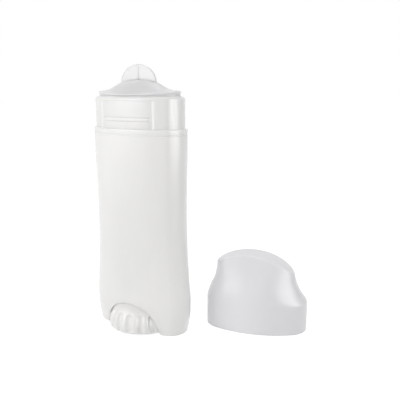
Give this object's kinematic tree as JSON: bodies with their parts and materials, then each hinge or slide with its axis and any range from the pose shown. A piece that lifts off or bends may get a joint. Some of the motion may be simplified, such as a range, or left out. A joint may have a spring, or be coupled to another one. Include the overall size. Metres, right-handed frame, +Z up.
{
  "type": "refillable deodorant stick container",
  "caption": "Oval twist-up stick container with a bottom wheel, screw spindle and elevator, a domed pull-tab seal in the neck, and its cap standing beside it.",
  "frame": {"origin": "the container's axis at the height of its foot", "axes": "+Z up along the spindle, +X along the oval's long side, front face towards -Y"},
  "size_m": [0.1004, 0.059, 0.1274],
  "materials": {
    "barrel_plastic": "natural polypropylene, satin moulded",
    "cap_plastic": "frosted clear polypropylene",
    "seal_plastic": "natural low-density polyethylene, satin",
    "elevator_plastic": "natural polypropylene, satin moulded",
    "spindle_plastic": "natural polypropylene, satin moulded",
    "wheel_plastic": "natural polypropylene, satin moulded"
  },
  "bodies": {
    "barrel": {"barrel": "barrel_plastic", "cap": "cap_plastic"},
    "seal": {"top_seal": "seal_plastic"},
    "carrier": {"elevator": "elevator_plastic"},
    "wheel": {"knob": "wheel_plastic", "spindle": "spindle_plastic"}
  },
  "joints": [
    {"name": "seal_lift", "type": "slide", "parent": "barrel", "child": "seal", "axis": [0, 0, 1], "range_m": [0, 0.03]},
    {"name": "wheel_turn", "type": "hinge", "parent": "barrel", "child": "wheel", "pos_m": [0, 0, 0], "axis": [0, 0, 1], "range_deg": [0, 9360]},
    {"name": "elevator_rise", "type": "slide", "parent": "barrel", "child": "carrier", "axis": [0, 0, 1], "range_m": [0, 0.07801]}
  ],
  "couplings": [
    {"joint": "elevator_rise", "follows": "wheel_turn", "m_per_rad": 0.00047746}
  ]
}
